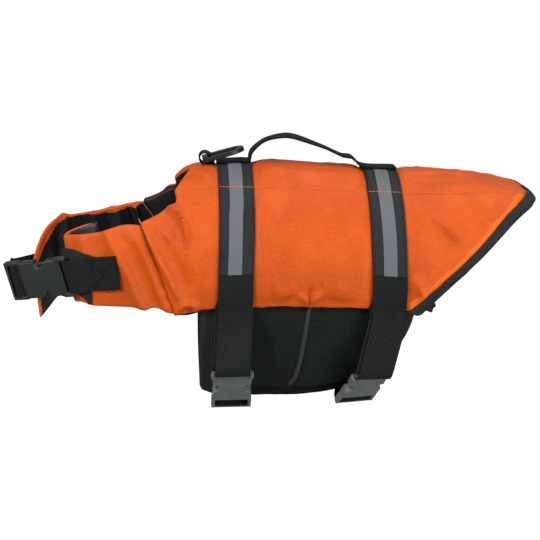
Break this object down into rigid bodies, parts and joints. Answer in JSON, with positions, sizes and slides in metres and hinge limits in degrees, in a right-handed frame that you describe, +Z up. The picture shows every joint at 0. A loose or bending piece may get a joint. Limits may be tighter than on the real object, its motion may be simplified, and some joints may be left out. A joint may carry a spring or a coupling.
{
  "type": "dog life jacket",
  "caption": "Dog flotation jacket in its worn, hollow form: foam back and side panels, chest flaps, belly panel, girth and neck straps with side-release buckles, grab handle and leash ring.",
  "frame": {"origin": "where the lining rests on the wearer's back, under the grab handle", "axes": "+X runs from the neck to the tail, +Z is up, and the wearer's left side is -Y"},
  "size_m": [0.5376, 0.1751, 0.2824],
  "materials": {
    "orange_nylon": "woven nylon with a soft sheen",
    "black_binding": "woven tape, matte",
    "black_belly_cloth": "matte knit",
    "black_webbing": "ribbed webbing, matte",
    "charcoal_ribbon": "fine woven ribbon",
    "grey_reflective_tape": "reflective tape, satin",
    "grey_piping": "satin tape",
    "black_loop_pile": "loop pile, matte",
    "grey_plastic": "moulded, fine satin",
    "black_plastic": "moulded, satin"
  },
  "bodies": {
    "jacket": {"spine_pad": "orange_nylon", "side_pad_left": "orange_nylon", "side_pad_right": "orange_nylon", "chest_flap_left": "orange_nylon", "chest_flap_right": "orange_nylon", "rear_binding": "black_binding", "belly_panel_left": "black_belly_cloth", "belly_panel_right": "black_belly_cloth", "belly_trim_front_left": "black_binding", "belly_trim_front_right": "black_binding", "belly_trim_rear_left": "black_binding", "belly_trim_rear_right": "black_binding", "belly_piping_left": "grey_piping", "belly_piping_right": "grey_piping", "front_webbing": "black_webbing", "front_webbing_tail": "black_webbing", "front_ribbon_left": "charcoal_ribbon", "front_ribbon_right": "charcoal_ribbon", "front_reflector_left": "grey_reflective_tape", "front_reflector_right": "grey_reflective_tape", "front_buckle_female": "grey_plastic", "front_buckle_male": "grey_plastic", "rear_webbing": "black_webbing", "rear_webbing_tail": "black_webbing", "rear_ribbon_left": "charcoal_ribbon", "rear_ribbon_right": "charcoal_ribbon", "rear_reflector_left": "grey_reflective_tape", "rear_reflector_right": "grey_reflective_tape", "rear_buckle_female": "grey_plastic", "rear_buckle_male": "grey_plastic", "neck_buckle_female": "black_plastic", "neck_buckle_male": "black_plastic", "neck_webbing_left": "black_webbing", "neck_webbing_right": "black_webbing", "loop_patch": "black_loop_pile", "handle": "black_webbing", "ring_tab": "black_webbing"},
    "leash_ring": {"d_ring": "black_plastic"}
  },
  "joints": [
    {"name": "leash_ring_swing", "type": "hinge", "parent": "jacket", "child": "leash_ring", "pos_m": [-0.097, 0, 0.0186], "axis": [0, -1, 0], "range_deg": [-5, 150]}
  ]
}
